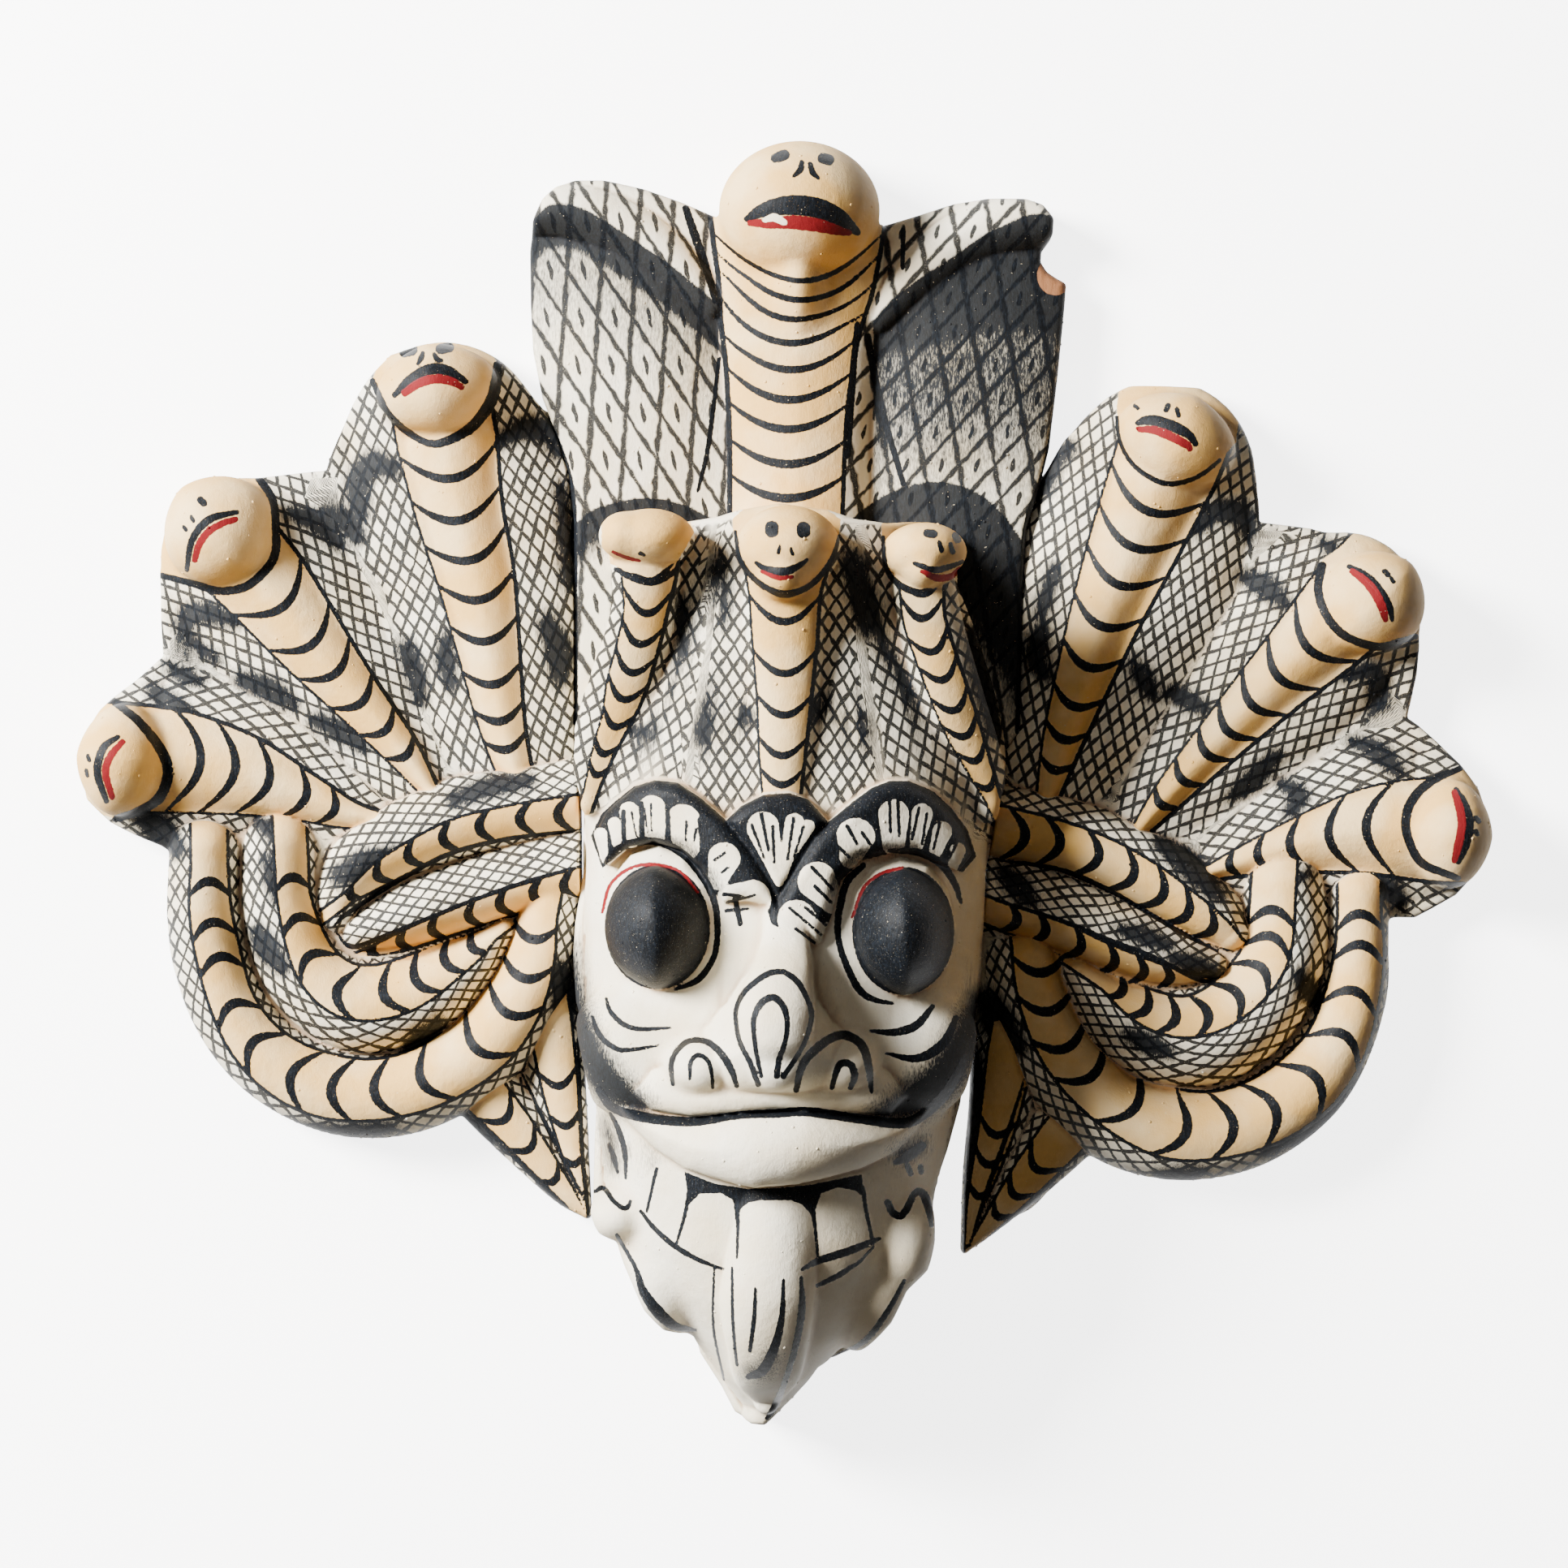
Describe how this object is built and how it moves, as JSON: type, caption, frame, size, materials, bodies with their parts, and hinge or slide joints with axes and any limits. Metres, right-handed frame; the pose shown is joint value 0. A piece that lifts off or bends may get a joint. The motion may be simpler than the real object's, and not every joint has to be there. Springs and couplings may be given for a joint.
{
  "type": "naga mask",
  "caption": "Carved and painted wooden naga wall mask: a demon face with cobras on its brow, a tall hooded cobra crest and two relief wings of coiled snakes.",
  "frame": {"origin": "middle of the mask's outline, in the plane of its flat back", "axes": "+X to the viewer's right across the wings, +Y to the crest, +Z out of the face"},
  "size_m": [0.3436, 0.3108, 0.0814],
  "materials": {
    "painted_wood": "painted"
  },
  "bodies": {
    "root": {"face": "painted_wood", "crest": "painted_wood", "wing_left": "painted_wood", "wing_right": "painted_wood"}
  },
  "joints": []
}
